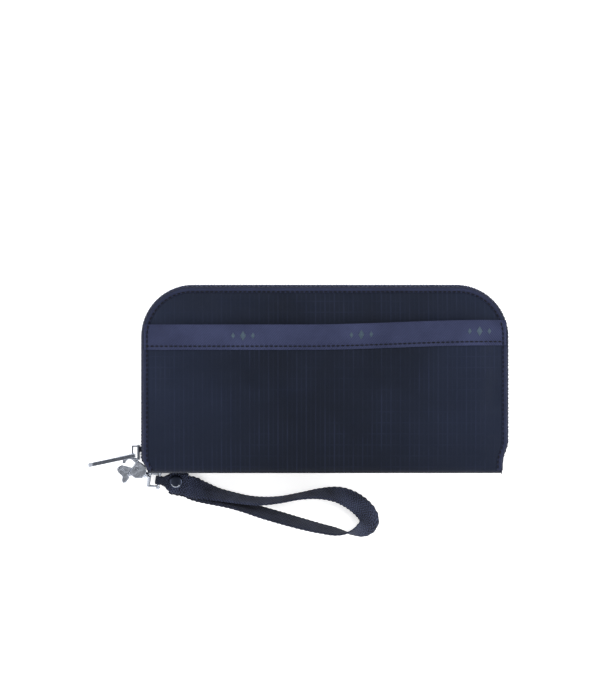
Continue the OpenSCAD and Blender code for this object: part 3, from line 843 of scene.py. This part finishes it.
def ribbon(name, frames, material):
    """A woven strap with rounded, scalloped edges; its weave coordinates, and the face each point is on,
    are stored for the material, which paints shade on one face.
    """
    profile = []
    columns = 11
    for k in range(columns):
        v = -1 + 2 * k / (columns - 1)
        profile.append((v, 1.0 if abs(v) < 0.95 else 0.45))
    profile += [(v, -h) for v, h in reversed(profile)]
    size = len(profile)
    fine, last, run = [], frames[0][0], 0.0
    for c, across, out, w in frames:
        run += (c - last).length
        last = c
        fine.append(run)
    count = int(run / (0.5 * MM))
    verts, weave = [], []
    for i in range(count + 1):
        s = run * i / count
        k = max(j for j in range(len(fine)) if fine[j] <= s + 1e-12)
        k = min(k, len(frames) - 2)
        t = (s - fine[k]) / max(1e-9, fine[k + 1] - fine[k])
        c0, a0, o0, w0 = frames[k]
        c1, a1, o1, w1 = frames[k + 1]
        c, a, o = c0.lerp(c1, t), a0.lerp(a1, t).normalized(), o0.lerp(o1, t).normalized()
        w = w0 + (w1 - w0) * t - SCALLOP / 2 + SCALLOP * 0.5 * math.cos(2 * math.pi * s / SCALLOP_PITCH)
        for v, h in profile:
            cup = 0.12 * MM * math.cos(v * math.pi) * (1 if h > 0 else 0)
            cord = 0.92 - 0.06 * (1 + math.cos(v * 18))
            verts.append(c + a * (v * w) + o * (h * STRAP_T / 2 * cord) + o * cup * 0.3)
            weave.append((s, v * STRAP_W / 2, h))
    faces = [tuple(reversed(f)) for f in grid_faces(count + 1, size, closed=True)]
    faces += [tuple(range(size)), tuple(reversed(range(count * size, (count + 1) * size)))]
    obj = add_mesh(name, verts, faces, material)
    store = obj.data.attributes.new("weave", "FLOAT_VECTOR", "POINT")
    store.data.foreach_set("vector", [x for w in weave for x in w])
    return obj


def build_strap():
    loop = ribbon("strap_loop_webbing", strap_frames(), WEBBING)
    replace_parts(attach(loop, "wrist_strap"), "strap_webbing")
    tab = ribbon("strap_folded_end", tab_frames(), WEBBING)
    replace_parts(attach(tab, "wrist_strap"), "strap_tab")


def lathe(name, profile, centre, material, sides=64):
    """A turned piece on a vertical axis; profile is (radius, z) from the bottom of the axis to the top."""
    turns = [2 * math.pi * k / sides for k in range(sides)]
    verts = [(centre.x + r * math.cos(a), centre.y + r * math.sin(a), z) for r, z in profile for a in turns]
    faces = grid_faces(len(profile), sides, closed=True)
    faces += [tuple(reversed(range(sides))), tuple(range((len(profile) - 1) * sides, len(profile) * sides))]
    return add_mesh(name, verts, faces, material)


def ball(name, centre, radius, material):
    rings = np.radians(np.linspace(-80, 80, 13))
    profile = [(radius * math.cos(a), centre.z + radius * math.sin(a)) for a in rings]
    return lathe(name, profile, centre, material, 24)


def build_knobs():
    """Round ends on the bar that holds the strap."""
    side = Vector((math.sin(TAB_TURN), -math.cos(TAB_TURN), 0))
    for sign, word in ((-1, "inner"), (1, "outer")):
        centre = Vector((BAR.x, BAR.y, LOOP_Z)) + side * sign * KNOB_OUT
        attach(ball(f"loop_knob_{word}", centre, KNOB_R, NICKEL), "swivel")


def build_rivet():
    """The rivet's two caps on their post, and a nickel arc on the upper cap's lower side, a painted
    highlight.
    """
    low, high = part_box("strap_rivet")
    r = (high[0] - low[0]) / 2
    post, foot, top = 1.2 * MM, low[2], high[2]
    profile = [
        (1.0 * MM, foot + 0.1 * MM), (r * 0.9, foot + 0.1 * MM), (r, foot + 0.5 * MM),
        (r * 0.96, foot + 0.9 * MM), (post, foot + 0.95 * MM), (post, top - 0.95 * MM),
        (r * 0.97, top - 0.95 * MM), (r, top - 0.6 * MM), (r * 0.95, top - 0.25 * MM),
        (r * 0.8, top - 0.05 * MM), (r * 0.4, top), (0.05 * MM, top),
    ]
    cap = lathe("rivet_turned", profile, RIVET_AT, RIVET)
    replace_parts(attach(cap, "wrist_strap"), "strap_rivet")
    # Painted highlight: a thin nickel arc laid on the dark upper cap where its glint shows.
    arc = [(RIVET_AT.x + r * 0.72 * math.cos(a), RIVET_AT.y + r * 0.72 * math.sin(a), high[2] - 0.05 * MM)
           for a in np.radians(np.linspace(205, 325, 25))]
    rim = add_mesh("rivet_highlight_arc", *tube(arc, 0.4 * MM), NICKEL)
    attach(rim, "wrist_strap")


# ---------------------------------------------------------------- set
# The camera looks straight down at this point and takes in this height of the front's plane.
SHOT_X, SHOT_Y, SHOT_H = -13.14 * MM, 17.1 * MM, 363.7 * MM
FLOOR_R = 3.0


def area_light(name, place, target, size, power):
    data = bpy.data.lights.new(name, "AREA")
    data.shape = "RECTANGLE"
    data.size, data.size_y = size
    data.energy = power
    obj = bpy.data.objects.new(name, data)
    obj.location = place
    obj.rotation_euler = (Vector(target) - Vector(place)).to_track_quat("-Z", "Y").to_euler()
    bpy.context.scene.collection.objects.link(obj)
    return obj


def build_set():
    scene = bpy.context.scene
    data = bpy.data.cameras.new("camera")
    data.lens, data.sensor_width, data.clip_start = 100, 36, 0.01
    camera = bpy.data.objects.new("camera", data)
    camera.location = (SHOT_X, SHOT_Y, FRONT_Z + SHOT_H * data.lens / data.sensor_width)
    scene.collection.objects.link(camera)
    scene.camera = camera
    white = Shader("floor_white", 0.9, specular=0.0)
    white.color((0.92, 0.92, 0.92, 1))
    white.feed(white.out.inputs["Emission Color"], (1, 1, 1, 1))
    white.feed(white.out.inputs["Emission Strength"], 0.45)
    r = FLOOR_R
    corners = [(-r, -r, 0), (r, -r, 0), (r, r, 0), (-r, r, 0)]
    add_mesh("floor", corners, [(0, 1, 2, 3)], white.material)
    aim = (0, 0, 0.01)
    area_light("key", (-0.55, 0.75, 0.95), aim, (0.9, 0.9), 9)
    area_light("fill", (0.8, 0.1, 0.8), aim, (0.8, 0.8), 5)
    area_light("low", (0.0, -0.9, 0.55), aim, (1.2, 0.4), 3)
    world = bpy.data.worlds.new("world")
    world.use_nodes = True
    back = world.node_tree.nodes["Background"]
    sky = world.node_tree.nodes.new("ShaderNodeTexCoord")
    split = world.node_tree.nodes.new("ShaderNodeSeparateXYZ")
    ramp = world.node_tree.nodes.new("ShaderNodeValToRGB")
    bands = ramp.color_ramp.elements
    bands[0].color, bands[1].color = (0.3, 0.3, 0.31, 1), (0.14, 0.145, 0.16, 1)
    for position, value in ((0.35, 0.9), (0.55, 1.05), (0.8, 1.0), (0.93, 0.4)):
        bands.new(position).color = (value, value, value, 1)
    world.node_tree.links.new(sky.outputs["Generated"], split.inputs[0])
    world.node_tree.links.new(split.outputs["Z"], ramp.inputs[0])
    world.node_tree.links.new(ramp.outputs[0], back.inputs["Color"])
    back.inputs["Strength"].default_value = 1.35
    scene.world = world
    scene.view_settings.view_transform = "Standard"


dress_cad_nodes()
build_covers()
build_band()
build_zip()
build_spine()
build_hems()
build_strap()
build_rivet()
build_knobs()
build_set()

bpy.context.view_layer.update()
